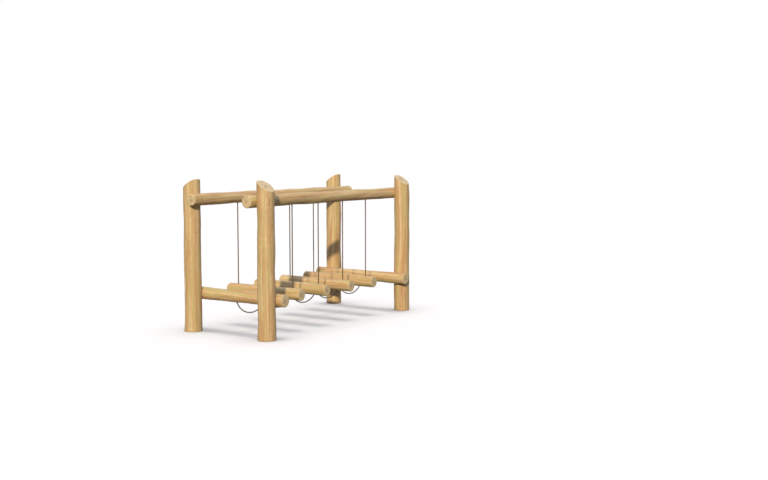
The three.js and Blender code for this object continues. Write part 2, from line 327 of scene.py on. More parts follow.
def grid_mesh(name, rows, start=None, end=None, closed=False):
    """A mesh of rows of points, each row a ring. start and end are the points that close its two ends;
    a closed grid joins its last row to its first instead."""
    count, columns = rows.shape[:2]
    points = rows.reshape(-1, 3).tolist()
    here = np.arange(columns)
    ahead = (here + 1) % columns
    faces = []
    for row in range(count if closed else count - 1):
        low = row * columns
        high = ((row + 1) % count) * columns
        faces += np.stack([low + here, low + ahead, high + ahead, high + here], 1).tolist()
    if start is not None:
        points.append(list(start))
        faces += [[len(points) - 1, ahead[i], here[i]] for i in range(columns)]
    if end is not None:
        points.append(list(end))
        low = (count - 1) * columns
        faces += [[len(points) - 1, low + here[i], low + ahead[i]] for i in range(columns)]
    mesh = bpy.data.meshes.new(name)
    mesh.from_pydata(points, [], faces)
    return mesh


def add_object(name, data, place=None):
    piece = bpy.data.objects.new(name, data)
    bpy.context.scene.collection.objects.link(piece)
    if place is not None:
        piece.matrix_world = place
    return piece


def soften(mesh, crease=CREASE):
    """Smooth shading, with a hard edge wherever faces meet at more than this many degrees."""
    mesh.shade_smooth()
    mesh.set_sharp_from_angle(angle=math.radians(crease))


def turned_rows(profile, columns, shape=None):
    """Rows of a turned solid about Z, from pairs of radius and height. shape scales each ring's radius."""
    angle = np.arange(columns) * TURN / columns
    radius, height = np.array(profile, float).T
    scale = np.ones((len(profile), columns)) if shape is None else shape(angle[None, :], height[:, None])
    reach = radius[:, None] * scale
    level = height[:, None] * np.ones((1, columns))
    return np.stack([reach * np.cos(angle), reach * np.sin(angle), level], 2)


def facing(direction):
    """The turn that takes Z to a direction."""
    return Vector((0, 0, 1)).rotation_difference(Vector(direction)).to_matrix().to_4x4()


# --- Timbers ---


class Trunk:
    """The shape of one peeled log in its own frame, where Z runs from one sawn end to the other."""

    def __init__(self, seed, length, radius_at, dressed=(), knots=3, top=None, edge=EDGE):
        draw = np.random.default_rng(seed)
        self.length = length
        self.radius_at = radius_at
        self.dressed = dressed
        self.top = top
        self.edge = edge
        self.waves = [
            (lobes, height * draw.uniform(*WAVE_DRAW), TURN / draw.uniform(*spans), draw.uniform(0, TURN))
            for lobes, height, *spans in WAVES
        ]
        self.twist = draw.uniform(-MOST_TWIST, MOST_TWIST)
        self.pith = [
            (draw.uniform(*PITH_WANDER), TURN / draw.uniform(*PITH_WAVE), draw.uniform(0, TURN))
            for _ in range(2)
        ]
        stations = (np.arange(knots) + draw.uniform(*KNOT_SLOT, knots)) / knots * length
        self.knots = [(draw.uniform(0, TURN), station, draw.uniform(*KNOT_RADIUS)) for station in stations]
        self.checks = []
        for i in range(CHECK_COUNT):
            angle = (i + draw.uniform(*CHECK_SLOT)) * TURN / CHECK_COUNT
            run = draw.uniform(*CHECK_RUN) * length
            begin = (draw.choice(CHECK_STARTS) + draw.uniform(*CHECK_DELAY)) * length
            self.checks.append((angle, begin, begin + run, draw.uniform(*CHECK_DEPTH)))

    def looseness(self, z):
        """0 where the log is dressed to its true round for a joint, and 1 away from the joints."""
        loose = np.ones_like(z)
        for place in self.dressed:
            loose = np.minimum(loose, smooth((abs(z - place) - DRESSED_HALF) / DRESSED_FADE))
        return loose

    def surface(self, angle, z):
        """How far the peeled surface is from the log's axis, at an angle round it."""
        bumps = sum(height * np.sin(lobes * angle + turns * z + phase)
                    for lobes, height, turns, phase in self.waves)
        for knot_angle, station, spread in self.knots:
            turn = wrapped(angle - self.twist * z - knot_angle)
            away = (z - station) / KNOT_RISE_STRETCH
            apart = ((turn * KNOT_REACH) ** 2 + away**2) / (KNOT_RISE_WIDTH * spread) ** 2
            bumps = bumps + KNOT_RISE * np.exp(-apart)
        return self.radius_at(z) + (bumps - ALLOWANCE) * self.looseness(z)

    def check_depth(self, check, z):
        _, begin, end, depth = check
        run = CHECK_TAPER * (end - begin)
        return depth * smooth((z - begin) / run) * smooth((end - z) / run)

    def columns(self):
        """The angles of the grid's columns. Each drying check has three of its own."""
        angles = np.arange(COLUMNS) * TURN / COLUMNS
        half = CHECK_HALF_WIDTH / self.radius_at(self.length / 2)
        for angle, *_ in self.checks:
            near = abs(wrapped(angles - angle)) < CHECK_CLEAR * half
            angles = np.concatenate([angles[~near], [angle - half, angle, angle + half]])
        return np.sort(np.mod(angles, TURN))

    def meridian(self):
        """The rows of the grid: distance along, inset, share of the radius and tilt of the surface."""
        cap = np.arange(1, CAP_ROWS) / CAP_ROWS
        rim = np.linspace(0, math.pi / 2, RIM_ROWS)
        flat = np.zeros_like(cap)
        steps = max(2, round((self.length - 2 * self.edge) / ROW_STEP))
        side = np.linspace(self.edge, self.length - self.edge, steps + 1)[1:-1]
        along = np.concatenate([flat, self.edge * (1 - np.cos(rim))])
        inset = np.concatenate([flat + self.edge, self.edge * (1 - np.sin(rim))])
        share = np.concatenate([cap, np.ones_like(rim)])
        tilt = np.concatenate([flat, rim])
        upright = np.full_like(side, math.pi / 2)
        return np.concatenate([
            np.stack([along, inset, share, tilt], 1),
            np.stack([side, np.zeros_like(side), np.ones_like(side), upright], 1),
            np.stack([self.length - along, inset, share, math.pi - tilt], 1)[::-1],
        ]).T[:, :, None]

    def mesh(self, name):
        along, inset, share, tilt = self.meridian()
        columns = self.columns()[None, :]
        angle = columns + self.twist * along
        radius = (self.surface(angle, along) - inset) * share
        level = along + np.zeros_like(columns)
        end_check = END_CHECK_DEPTH * smooth((share - END_CHECK_START) / END_CHECK_FADE)
        for check in self.checks:
            at_check = abs(columns - np.mod(check[0], TURN)) < 1e-9
            sink = at_check * np.where(share < 1, end_check, self.check_depth(check, along))
            radius = radius - sink * np.sin(tilt)
            level = level + END_CHECK_SINK * sink * np.cos(tilt)
        across = radius * np.cos(angle - SAW_ANGLE)
        saw = SAW_MARKS * (0.5 + 0.5 * np.sin(across * SAW_PACE + SAW_SHIFT * self.twist))
        level = level + saw * np.cos(tilt) * smooth(abs(np.cos(tilt)))
        points = np.stack([radius * np.cos(angle), radius * np.sin(angle), level], 2)
        middles = np.array([[0, 0, 0], [0, 0, self.length]], float)
        if self.top:
            points[:, :, 2] += self.lean(points, along)
            middles[1, 2] += self.lean(middles[1:], self.length)[0]
        return grid_mesh(name, points, middles[0], middles[1])

    def lean(self, points, along):
        """How much a slanted top moves points up or down."""
        share = np.clip((along - self.length + TOP_START) / TOP_START, 0, 1)
        return (self.top(points) - self.length) * share

    def grain(self, points):
        """Where points lie in the wood, across its fibres from the pith and along them, and how near
        a knot they are. The fibres part round each knot."""
        z = points[:, 2]
        pith = np.stack([wander * np.sin(turns * z + phase) for wander, turns, phase in self.pith], 1)
        across = points[:, :2] - pith
        reach = np.hypot(across[:, 0], across[:, 1])
        angle = np.arctan2(across[:, 1], across[:, 0]) - self.twist * z
        core = np.zeros(len(points))
        for knot_angle, station, spread in self.knots:
            around = wrapped(angle - knot_angle)
            away = (z - station) / PARTING_STRETCH
            apart = ((around * reach) ** 2 + away**2) / (PARTING_WIDTH * spread) ** 2
            near = ((around * reach) ** 2 + (z - station) ** 2) / spread**2
            angle = angle - around / (1 + apart**PARTING_FALL)
            core = np.maximum(core, np.exp(-near))
        fibres = np.stack([reach * np.cos(angle), reach * np.sin(angle), z], 1)
        return fibres, core

    def check_shade(self, points):
        """How much painted shade a point gets: 1 deep in a drying check, and 0 on the log's surface."""
        z = points[:, 2]
        angle = np.arctan2(points[:, 1], points[:, 0])
        reach = np.hypot(points[:, 0], points[:, 1])
        sunk = (self.surface(angle, z) - reach) / CHECK_SHADE_DEPTH
        shade = np.zeros(len(points))
        for check in self.checks:
            around = wrapped(angle - self.twist * z - check[0])
            close = abs(around) * reach < CHECK_SHADE_WIDTH * CHECK_HALF_WIDTH
            there = self.check_depth(check, z) > CHECK_SHADE_LEAST_DEPTH
            shade = np.maximum(shade, close * there * np.clip(sunk, 0, 1))
        return shade


def mark(mesh, name, values):
    """Stores values on the points of a mesh, for its material."""
    kind = "FLOAT_VECTOR" if values.ndim == 2 else "FLOAT"
    attribute = mesh.attributes.new(name, kind, "POINT")
    attribute.data.foreach_set("vector" if values.ndim == 2 else "value", values.astype(np.float32).ravel())


def points_of(mesh):
    found = np.empty(len(mesh.vertices) * 3)
    mesh.vertices.foreach_get("co", found)
    return found.reshape(-1, 3)


def mark_wood(mesh, trunk):
    points = points_of(mesh)
    fibres, core = trunk.grain(points)
    normals = np.empty(len(points) * 3, np.float32)
    mesh.vertex_normals.foreach_get("vector", normals)
    mark(mesh, "grain", fibres)
    mark(mesh, "knot", core)
    # Painted shade for the drying checks, stored for the material.
    mark(mesh, "check", trunk.check_shade(points))
    mark(mesh, "end", abs(normals.reshape(-1, 3)[:, 2]))


def round_cutter(profile, place):
    """A cutting tool, turned from pairs of radius and distance and set at a place."""
    rows = turned_rows(profile, CUTTER_SIDES)
    mesh = grid_mesh("cutter", rows, (0, 0, profile[0][1]), (0, 0, profile[-1][1]))
    return add_object("cutter", mesh, place)


def drill(surface, inward, steps, flare=MOUTH_FLARE):
    """A stepped bore from a point on a surface inwards. steps are pairs of radius and depth."""
    mouth = steps[0][0]
    profile = [(mouth + flare, -OVERRUN), (mouth + flare, 0.0), (mouth, flare)]
    for (radius, depth), after in zip(steps, steps[1:] + [None]):
        profile.append((radius, depth))
        if after:
            profile.append((after[0], depth))
    return round_cutter(profile, Matrix.Translation(surface) @ facing(inward))


def screw_hole(surface, inward):
    """The hole for a coach screw and its plug, sunk into the side of a rail or cross-log."""
    steps = [(PLUG_HOLE_RADIUS, SCREW_HEAD_DEPTH + GAP), (SCREW_HOLE_RADIUS, SCREW_REACH)]
    return drill(surface, inward, steps, flare=0)


def rope_hole(surface, inward, radius):
    """The bore for a hanger rope right through a log, with a pocket for its ferrule."""
    return drill(surface, inward, [(POCKET_RADIUS, POCKET_DEPTH), (ROPE_BORE, 2 * radius + OVERRUN)])


def notch(centre, direction, radius):
    """A round housing for another log, with points close enough together to carry the wood's grain."""
    stations = np.linspace(-NOTCH_HALF_LENGTH, NOTCH_HALF_LENGTH, NOTCH_ROWS)
    return round_cutter([(radius, z) for z in stations], Matrix.Translation(centre) @ facing(direction))


def carve(piece, tools):
    """Cuts the tools out of a piece, and removes them."""
    for tool in tools:
        cut = piece.modifiers.new("cut", "BOOLEAN")
        cut.operation = "DIFFERENCE"
        cut.solver = "MANIFOLD"
        cut.object = tool
    bpy.context.view_layer.update()
    shaped = piece.evaluated_get(bpy.context.evaluated_depsgraph_get())
    mesh = bpy.data.meshes.new_from_object(shaped)
    piece.modifiers.clear()
    piece.data = mesh
    mesh.name = piece.name
    for tool in tools:
        bpy.data.objects.remove(tool)


def add_timber(node, body, place, trunk, tools, seed):
    """A detailed log that stands for a CAD node."""
    name = node + "_timber"
    piece = add_object(name, trunk.mesh(name), place)
    carve(piece, tools)
    soften(piece.data)
    mark_wood(piece.data, trunk)
    piece.data.materials.clear()
    piece.data.materials.append(timber_material(node + "_wood", seed))
    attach(piece, body)
    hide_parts(node)


# --- Materials ---


class Nodes:
    """A node tree. An input is a number, a colour or another node's output."""

    def __init__(self, tree):
        self.tree = tree
        tree.nodes.clear()

    def add(self, kind, inputs, output=0, **settings):
        node = self.tree.nodes.new("ShaderNode" + kind)
        for key, value in settings.items():
            setattr(node, key, value)
        for key, value in inputs.items():
            if isinstance(value, bpy.types.NodeSocket):
                self.tree.links.new(value, node.inputs[key])
            else:
                node.inputs[key].default_value = value
        return node.outputs[output]

    def math(self, operation, *values):
        return self.add("Math", dict(enumerate(values)), operation=operation)

    def vector(self, *values):
        return self.add("CombineXYZ", dict(enumerate(values)))

    def split(self, vector):
        parts = self.tree.nodes.new("ShaderNodeSeparateXYZ")
        self.tree.links.new(vector, parts.inputs[0])
        return tuple(parts.outputs)

    def attribute(self, name, output="Fac"):
        return self.add("Attribute", {}, output, attribute_name=name)

    def noise(self, vector, scale, detail=3.0, roughness=0.55):
        inputs = {"Vector": vector, "Scale": scale, "Detail": detail, "Roughness": roughness}
        return self.add("TexNoise", inputs)

    def ramp(self, value, low, high, to_low=0.0, to_high=1.0):
        inputs = {"Value": value, "From Min": low, "From Max": high, "To Min": to_low, "To Max": to_high}
        return self.add("MapRange", inputs, interpolation_type="SMOOTHSTEP")

    def mix(self, share, first, second, blend="MIX"):
        inputs = {0: share, 6: first, 7: second}
        return self.add("Mix", inputs, 2, data_type="RGBA", blend_type=blend)

    def coats(self, colour, patterns, coats):
        """A colour with coats of other colours over it, each laid on by its pattern."""
        for name, low, high, share, coat in coats:
            colour = self.mix(self.ramp(patterns[name], low, high, 0, share), colour, coat)
        return colour

    def toned(self, colour, *values):
        """A colour made darker or lighter by values that multiply it."""
        tone = values[0]
        for value in values[1:]:
            tone = self.math("MULTIPLY", tone, value)
        grey = self.add("CombineColor", {0: tone, 1: tone, 2: tone})
        return self.mix(1.0, colour, grey, "MULTIPLY")

    def latewood(self, reach, pace, sway, start):
        """1 in the dark part of each growth ring, and 0 in the pale part before it."""
        ring = self.math("FRACT", self.math("MULTIPLY_ADD", reach, pace, sway))
        rise = self.ramp(ring, start, LATEWOOD_FULL)
        return self.math("MULTIPLY", rise, self.ramp(ring, 1.0, LATEWOOD_EDGE))

    def bump(self, height, strength, distance):
        return self.add("Bump", {"Height": height, "Strength": strength, "Distance": distance})

    def add_output(self, kind, shader):
        output = self.tree.nodes.new("ShaderNodeOutput" + kind)
        self.tree.links.new(shader, output.inputs["Surface"])


class Shader(Nodes):
    """The node tree of a new material."""

    def __init__(self, name):
        self.material = bpy.data.materials.new(name)
        self.material.use_nodes = True
        super().__init__(self.material.node_tree)

    def finish(self, **inputs):
        shader = self.add("BsdfPrincipled", {key.replace("_", " "): value for key, value in inputs.items()})
        self.add_output("Material", shader)
        return self.material


def timber_material(name, seed):
    """Peeled, oiled softwood: growth rings about the pith, and streaks and fibres along it, with painted
    shade in its drying checks.
    """
    s = Shader(name)
    across_x, across_y, along = s.split(s.attribute("grain", "Vector"))

    def drawn_out(across, stretch, detail, offset):
        slow = s.math("MULTIPLY_ADD", along, 1 / stretch, seed * SEED_SHIFT + offset)
        return s.noise(s.vector(across_x, across_y, slow), across, detail)

    patterns = {name: drawn_out(*layer) for name, layer in STREAKS.items()}
    fibre, streak = patterns["fibre"], patterns["streak"]
    reach = s.add("VectorMath", {0: s.vector(across_x, across_y, 0.0)}, "Value", operation="LENGTH")
    sway = s.math("MULTIPLY", patterns["broad"], RING_SWAY)
    latewood = s.latewood(reach, RINGS, sway, LATEWOOD_START)
    rays = s.math("ARCTAN2", across_y, across_x)
    ray_place = s.vector(s.math("MULTIPLY", rays, RAY_SPREAD), s.math("MULTIPLY", reach, RAY_RUN), seed)
    patterns |= {"latewood": latewood, "reach": reach, "ray": s.noise(ray_place, RAY_SCALE, 3)}

    side = s.coats(PALE, patterns, SIDE_COATS)
    end = s.coats(END_PALE, patterns, END_COATS)
    colour = s.mix(s.ramp(s.attribute("end"), *END_TURN), side, end)
    colour = s.toned(colour, *(s.ramp(patterns[name], *tones) for name, tones in WOOD_TONES.items()))
    core = s.attribute("knot")
    whorl = s.math("SINE", s.math("MULTIPLY", core, WHORL_PACE))
    colour = s.mix(s.ramp(core, *KNOT_CORE), colour, KNOT)
    whorl_share = s.math("MULTIPLY", s.ramp(core, *KNOT_WHORLS), s.ramp(whorl, -1, 1))
    colour = s.mix(whorl_share, colour, KNOT)
    # Painted shade in the drying checks.
    colour = s.mix(s.attribute("check"), colour, CHECK_PAINTED_SHADE)

    ring_relief = s.math("MULTIPLY", latewood, WOOD_RELIEF["latewood"])
    height = s.math("ADD", s.math("MULTIPLY", fibre, WOOD_RELIEF["fibre"]), ring_relief)
    height = s.math("ADD", height, s.math("MULTIPLY", streak, WOOD_RELIEF["streak"]))
    normal = s.bump(height, *WOOD_BUMP)
    roughness = s.ramp(fibre, *WOOD_ROUGHNESS)
    return s.finish(Base_Color=colour, Roughness=roughness, Normal=normal, Specular_IOR_Level=0.35)


def rope_material(name, light, dark):
    """Yarns laid in twisted strands, with painted shade in the grooves between them. The u coordinate counts
    strands, and v runs along the rope.
    """
    s = Shader(name)
    around, along, _ = s.split(s.add("UVMap", {}, uv_map="lay"))
    in_strand = s.math("FRACT", around)
    crown = s.math("SINE", s.math("MULTIPLY", in_strand, math.pi))
    yarn_phase = s.math("MULTIPLY_ADD", in_strand, YARN_SLANT, s.math("MULTIPLY", along, YARN_PACE))
    yarn = s.math("SINE", yarn_phase)
    fuzz_across, fuzz_along = STRAND_FUZZ
    fuzz_place = s.vector(s.math("MULTIPLY", around, fuzz_across), s.math("MULTIPLY", along, fuzz_along), 0.0)
    fuzz = s.noise(fuzz_place, 1.0, 3)
    wear = s.noise(s.vector(around, s.math("MULTIPLY", along, STRAND_WEAR), WEAR_SHIFT), 1.0, 2)
    # Painted shade: the dark colour in each groove, the light one on each strand's crown.
    colour = s.mix(s.ramp(crown, *STRAND_CROWN), dark, light)
    tones = (s.ramp(yarn, *YARN_TONES), s.ramp(fuzz, *FUZZ_TONES), s.ramp(wear, *WEAR_TONES))
    colour = s.toned(colour, *tones)
    height = s.math("ADD", s.math("MULTIPLY", yarn, YARN_RELIEF), fuzz)
    normal = s.bump(height, *ROPE_BUMP)
    return s.finish(Base_Color=colour, Roughness=0.85, Normal=normal, Specular_IOR_Level=0.2)


def plug_material(name):
    """A plug cut across the grain, with the arcs of its growth rings on its face."""
    s = Shader(name)
    place = s.attribute("place", "Vector")
    off_pith = s.add("VectorMath", {0: place, 1: PLUG_PITH}, operation="ADD")
    reach = s.add("VectorMath", {0: off_pith}, "Value", operation="LENGTH")
    latewood = s.latewood(reach, PLUG_RINGS, s.noise(place, PLUG_SWAY, 2), PLUG_LATEWOOD_START)
    fine = s.noise(place, PLUG_FINE, 3)
    colour = s.mix(s.ramp(latewood, 0, 1, 0, PLUG_GRAIN_SHARE), PLUG_PALE, PLUG_GRAIN)
    colour = s.toned(colour, s.ramp(fine, *PLUG_TONES))
    roughness = s.ramp(fine, *PLUG_ROUGHNESS)
    return s.finish(Base_Color=colour, Roughness=roughness, Normal=s.bump(fine, *PLUG_BUMP))


def steel_material(name, rough, scale):
    """Galvanised or pressed metal, with a cloudy finish."""
    s = Shader(name)
    place = s.attribute("place", "Vector")
    cloud = s.noise(place, scale, 4)
    fine = s.noise(place, scale * STEEL_FINE, 2)
    dark = tuple(STEEL_SHADE * c for c in ZINC)
    colour = s.mix(s.ramp(cloud, *STEEL_CLOUDS), dark + (1,), ZINC + (1,))
    roughness = s.ramp(cloud, 0.3, 0.7, rough - STEEL_SMOOTHER, rough + STEEL_ROUGHER)
    return s.finish(Base_Color=colour, Metallic=1.0, Roughness=roughness, Normal=s.bump(fine, *STEEL_BUMP))


# --- Camera ---

CAMERA_PLACE = Vector((-11.831, -9.304, 2.415))
CAMERA_YAW = math.radians(33.91)
CAMERA_PITCH = math.radians(4.93)  # downwards
CAMERA_LENS = 50.66  # millimetres, on a sensor 36 mm wide


def light_path(azimuth, elevation):
    """The direction of a ray that falls at an elevation. The azimuth is where it heads, from +X."""
    flat = math.cos(elevation)
    return Vector((math.cos(azimuth) * flat, math.sin(azimuth) * flat, -math.sin(elevation)))


def add_camera():
    camera = add_object("camera", bpy.data.cameras.new("camera"))
    bpy.context.scene.camera = camera
    camera.location = CAMERA_PLACE
    camera.rotation_euler = light_path(CAMERA_YAW, CAMERA_PITCH).to_track_quat("-Z", "Y").to_euler()
    camera.data.sensor_width = 36
    camera.data.lens = CAMERA_LENS
    camera.data.clip_end = 200


add_camera()


# --- Ropes ---


def smooth_line(points, step):
    """Points every step along a Catmull-Rom curve through the given ones."""
    points = np.array(points, float)
    before = 2 * points[0] - points[1]
    after = 2 * points[-1] - points[-2]
    padded = np.concatenate([[before], points, [after]])
    t = np.linspace(0, 1, CURVE_STEPS, endpoint=False)[:, None]
    fine = []
    for a, b, c, d in zip(padded, padded[1:], padded[2:], padded[3:]):
        fine.append(0.5 * (2 * b + (c - a) * t + (2 * a - 5 * b + 4 * c - d) * t**2
                           + (3 * b - a - 3 * c + d) * t**3))
    fine = np.concatenate(fine + [points[-1:]])
    travel = np.concatenate([[0], np.cumsum(np.linalg.norm(np.diff(fine, axis=0), axis=1))])
    count = 2 * round(travel[-1] / step / 2)
    even = np.linspace(0, travel[-1], count + 1)
    return np.stack([np.interp(even, travel, fine[:, k]) for k in range(3)], 1), even


def rope_rows(line, travel):
    """Rings of a twisted rope along a line. Each column keeps to its strand, so the grid has the lay."""
    ahead = np.gradient(line, axis=0)
    ahead /= np.linalg.norm(ahead, axis=1)[:, None]
    side = np.array([0.0, 1.0, 0.0]) - ahead * ahead[:, 1:2]
    side /= np.linalg.norm(side, axis=1)[:, None]
    other = np.cross(ahead, side)
    count = STRANDS * STRAND_COLUMNS
    column = np.arange(count)
    in_strand = (column % STRAND_COLUMNS) / STRAND_COLUMNS
    radius = ROPE_RADIUS * (1 - GROOVE * (1 - np.sqrt(np.sin(math.pi * in_strand))))
    angle = column[None, :] * TURN / count + travel[:, None] * TURN / ROPE_LAY
    offset = (radius * np.cos(angle))[:, :, None] * side[:, None, :]
    offset = offset + (radius * np.sin(angle))[:, :, None] * other[:, None, :]
    return line[:, None, :] + offset


def add_rope(name, line, travel, rows, material):
    """One stretch of twisted rope as a closed mesh, with its lay in its UV map."""
    mesh = grid_mesh(name, rows, line[0], line[-1])
    count = rows.shape[1]
    vertex = np.empty(len(mesh.loops), int)
    mesh.loops.foreach_get("vertex_index", vertex)
    starts = np.array([p.loop_start for p in mesh.polygons])
    totals = np.array([p.loop_total for p in mesh.polygons])
    face = np.repeat(np.arange(len(starts)), totals)
    column = vertex % count
    first = column[starts][face]
    column = np.where((column == 0) & (first == count - 1), count, column)
    row = np.minimum(vertex // count, len(travel) - 1)
    across = column / STRAND_COLUMNS
    layer = mesh.uv_layers.new(name="lay")
    layer.data.foreach_set("uv", np.stack([across, travel[row]], 1).astype(np.float32).ravel())
    mesh.materials.append(material)
    soften(mesh, ROPE_CREASE)
    return add_object(name, mesh)


hanger_rope = rope_material("hanger_rope_yarn", HANGER_BROWN, HANGER_GROOVE_SHADE)
link_rope = rope_material("link_rope_yarn", LINK_OLIVE, LINK_GROOVE_SHADE)


def add_hanger_rope(number, side_name):
    node = f"hanger_rope_{number}_{side_name}"
    low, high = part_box(node)
    centre = middle(node)
    height = high.z - low.z
    steps = round(height / ROPE_STEP)
    travel = np.linspace(0, height, steps + 1)
    line = np.stack([np.full_like(travel, centre.x), np.full_like(travel, centre.y), high.z - travel], 1)
    piece = add_rope(node + "_laid", line, travel, rope_rows(line, travel), hanger_rope)
    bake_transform(piece)
    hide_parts(node)


def link_line(centre_x):
    """The route of a link rope, from the log behind to the log ahead."""
    ahead = LINK_HALF_ROUTE
    route = [(-x, z) for x, z in ahead[:0:-1]] + list(ahead)
    reach = ahead[-LINK_STRAIGHT][0]
    points = [
        (centre_x + x, -LINK_SIDE_STEP * math.sin(math.pi / 2 * max(-1, min(1, x / reach))), z)
        for x, z in route
    ]
    return smooth_line(points, ROPE_STEP)


def add_link_stretch(name, node, route):
    """A link rope, or half of one, laid along its route in place of its CAD node."""
    line, travel, rows = route
    piece = add_rope(name, line, travel, rows, link_rope)
    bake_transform(piece)
    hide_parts(node)


def add_link_rope(behind, ahead):
    """A loop from one log to the next. Between two hanging logs it is two halves, one for each log."""
    node = f"link_rope_{behind}_{ahead}"
    centre_x = middle(node).x
    line, travel = link_line(centre_x)
    rows = rope_rows(line, travel)
    half = len(travel) // 2
    if behind == "near":
        add_link_stretch(node + "_laid", node, (line, travel, rows))
    elif ahead == "far":
        add_link_stretch(node + "_laid", node, (line, travel, rows))
    else:
        halves = (("behind", -1, slice(0, half + 1), behind), ("ahead", 1, slice(half, None), ahead))
        for name, way, part, log in halves:
            route = (line[part], travel[part], rows[part])
            add_link_stretch(f"{node}_laid_{name}", node, route)


for number in range(1, LOG_COUNT + 1):
    for side_name in SIDES:
        add_hanger_rope(number, side_name)

link_names = ["near"] + [str(n) for n in range(1, LOG_COUNT + 1)] + ["far"]
for behind, ahead in zip(link_names, link_names[1:]):
    add_link_rope(behind, ahead)


# --- The timbers ---

POST_SEED = 11
RAIL_SEED = 21
CROSS_LOG_SEED = 31
SWING_LOG_SEED = 40


def post_top(side):
    """The height of a post's sawn top over a point of it: level inside, and falling outwards."""
    start = TOP_LEVEL - POST_TOP_RADIUS
    slope = TOP_FALL / (POST_TOP_RADIUS - start)

    def height(points):
        past = side * points[..., 1] - start
        return size("post_near_left").z - slope * (past + np.sqrt(past**2 + TOP_CORNER**2)) / 2

    return height


def post_radius(z):
    foot = POST_BUTT_RADIUS + (POST_FOOT_RADIUS - POST_BUTT_RADIUS) * (1 - z / FLARE_HEIGHT) ** 2
    share = (z - FLARE_HEIGHT) / (size("post_near_left").z - FLARE_HEIGHT)
    trunk = POST_BUTT_RADIUS + (POST_TOP_RADIUS - POST_BUTT_RADIUS) * share
    return np.where(z < FLARE_HEIGHT, foot, trunk)


def add_post(end_name, side_name, seed):
    node = f"post_{end_name}_{side_name}"
    end, side = ENDS[end_name], SIDES[side_name]
    low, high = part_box(node)
    foot = Vector(((low.x + high.x) / 2, (low.y + high.y) / 2, low.z))
    rail = middle(f"top_rail_{side_name}")
    cross = middle(f"cross_log_{end_name}")
    rail_radius = size(f"top_rail_{side_name}").z / 2
    cross_radius = size(f"cross_log_{end_name}").z / 2
    rail_at = Vector((foot.x, rail.y, rail.z))
    cross_at = Vector((cross.x, foot.y, cross.z))
    trunk = Trunk(seed, high.z - low.z, post_radius, knots=4, top=post_top(side), edge=POST_EDGE)
    outward_y = Vector((0, side, 0))
    outward_x = Vector((end, 0, 0))
    rail_hole = SCREW_REACH + SCREW_CLEARANCE - rail_radius
    cross_hole = SCREW_REACH + SCREW_CLEARANCE - cross_radius
    tools = [
        notch(rail_at, (1, 0, 0), rail_radius + GAP),
        notch(cross_at, (0, 1, 0), cross_radius + GAP),
        drill(rail_at, outward_y, [(SCREW_HOLE_RADIUS, rail_hole)]),
        drill(cross_at, outward_x, [(SCREW_HOLE_RADIUS, cross_hole)]),
    ]
    add_timber(node, "frame", Matrix.Translation(foot), trunk, tools, seed)


def even_radius(radius):
    """The radius along a log that is equally thick everywhere."""
    return lambda z: np.full_like(z, radius)


def add_log(node, body, axis, seed, tools, posts=(), knots=3):
    """A lying log along X, axis 0, or Y, axis 1. posts are where it is dressed to fit into a post."""
    low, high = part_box(node)
    dressed = [place - low[axis] for place in posts]
    trunk = Trunk(seed, high[axis] - low[axis], even_radius(size(node).z / 2), dressed, knots)
    start = middle(node)
    start[axis] = low[axis]
    add_timber(node, body, Matrix.Translation(start) @ facing(Matrix.Identity(3)[axis]), trunk, tools, seed)


def add_rail(side_name, seed):
    node = f"top_rail_{side_name}"
    side = SIDES[side_name]
    centre = middle(node)
    radius = size(node).z / 2
    posts = [middle(f"post_{end_name}_{side_name}").x for end_name in ENDS]
    tools = []
    for number in range(1, LOG_COUNT + 1):
        top = (middle(f"swing_log_{number}").x, centre.y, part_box(node)[1].z)
        tools.append(rope_hole(top, (0, 0, -1), radius))
    for x in posts:
        tools.append(screw_hole((x, centre.y - side * radius, centre.z), (0, side, 0)))
    add_log(node, "frame", 0, seed, tools, posts, knots=5)


def link_bore(log_x, direction):
    """The slanted bore for a link rope's end. direction is +1 for the link that runs ahead."""
    (x0, z0), (x1, z1) = LINK_HALF_ROUTE[-2:]
    pitch = middle("swing_log_2").x - middle("swing_log_1").x
    inward = Vector((-direction * (x1 - x0), 0, z1 - z0)).normalized()
    inner = Vector((log_x - direction * (x1 - pitch / 2), direction * LINK_SIDE_STEP, z1))
    start = inner - inward * LINK_BORE_OUTSIDE
    profile = [(ROPE_BORE, 0), (ROPE_BORE, LINK_BORE_OUTSIDE + LINK_BORE_PAST_ROPE)]
    return round_cutter(profile, Matrix.Translation(start) @ facing(inward))


def add_cross_log(end_name, seed):
    node = f"cross_log_{end_name}"
    end = ENDS[end_name]
    centre = middle(node)
    radius = size(node).z / 2
    posts = [middle(f"post_{end_name}_{side_name}").y for side_name in SIDES]
    tools = [link_bore(centre.x, -end)]
    for y in posts:
        tools.append(screw_hole((centre.x - end * radius, y, centre.z), (end, 0, 0)))
    add_log(node, "frame", 1, seed, tools, posts)


def add_swing_log(number, seed):
    node = f"swing_log_{number}"
    centre = middle(node)
    tools = [link_bore(centre.x, -1), link_bore(centre.x, 1)]
    for side_name in SIDES:
        underside = (centre.x, middle(f"top_rail_{side_name}").y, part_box(node)[0].z)
        tools.append(rope_hole(underside, (0, 0, 1), size(node).z / 2))
    add_log(node, f"log_{number}", 1, seed, tools, knots=2)


corners = [(end_name, side_name) for end_name in ENDS for side_name in SIDES]
for seed, (end_name, side_name) in enumerate(corners, POST_SEED):
    add_post(end_name, side_name, seed)
for seed, side_name in enumerate(SIDES, RAIL_SEED):
    add_rail(side_name, seed)
for seed, end_name in enumerate(ENDS, CROSS_LOG_SEED):
    add_cross_log(end_name, seed)
for number in range(1, LOG_COUNT + 1):
    add_swing_log(number, SWING_LOG_SEED + number)


# --- Fittings ---


def press_marks(angle, z):
    """The shape that a swaging press leaves on a ferrule: bands of soft flats."""
    bands = np.clip(np.sin(math.pi * PRESS_MARKS * z / FERRULE_LENGTH), 0, 1)
    flats = 0.5 + 0.5 * np.cos(PRESS_FLATS * angle)
    return 1 - PRESS_DEPTH * abs(bands) * flats


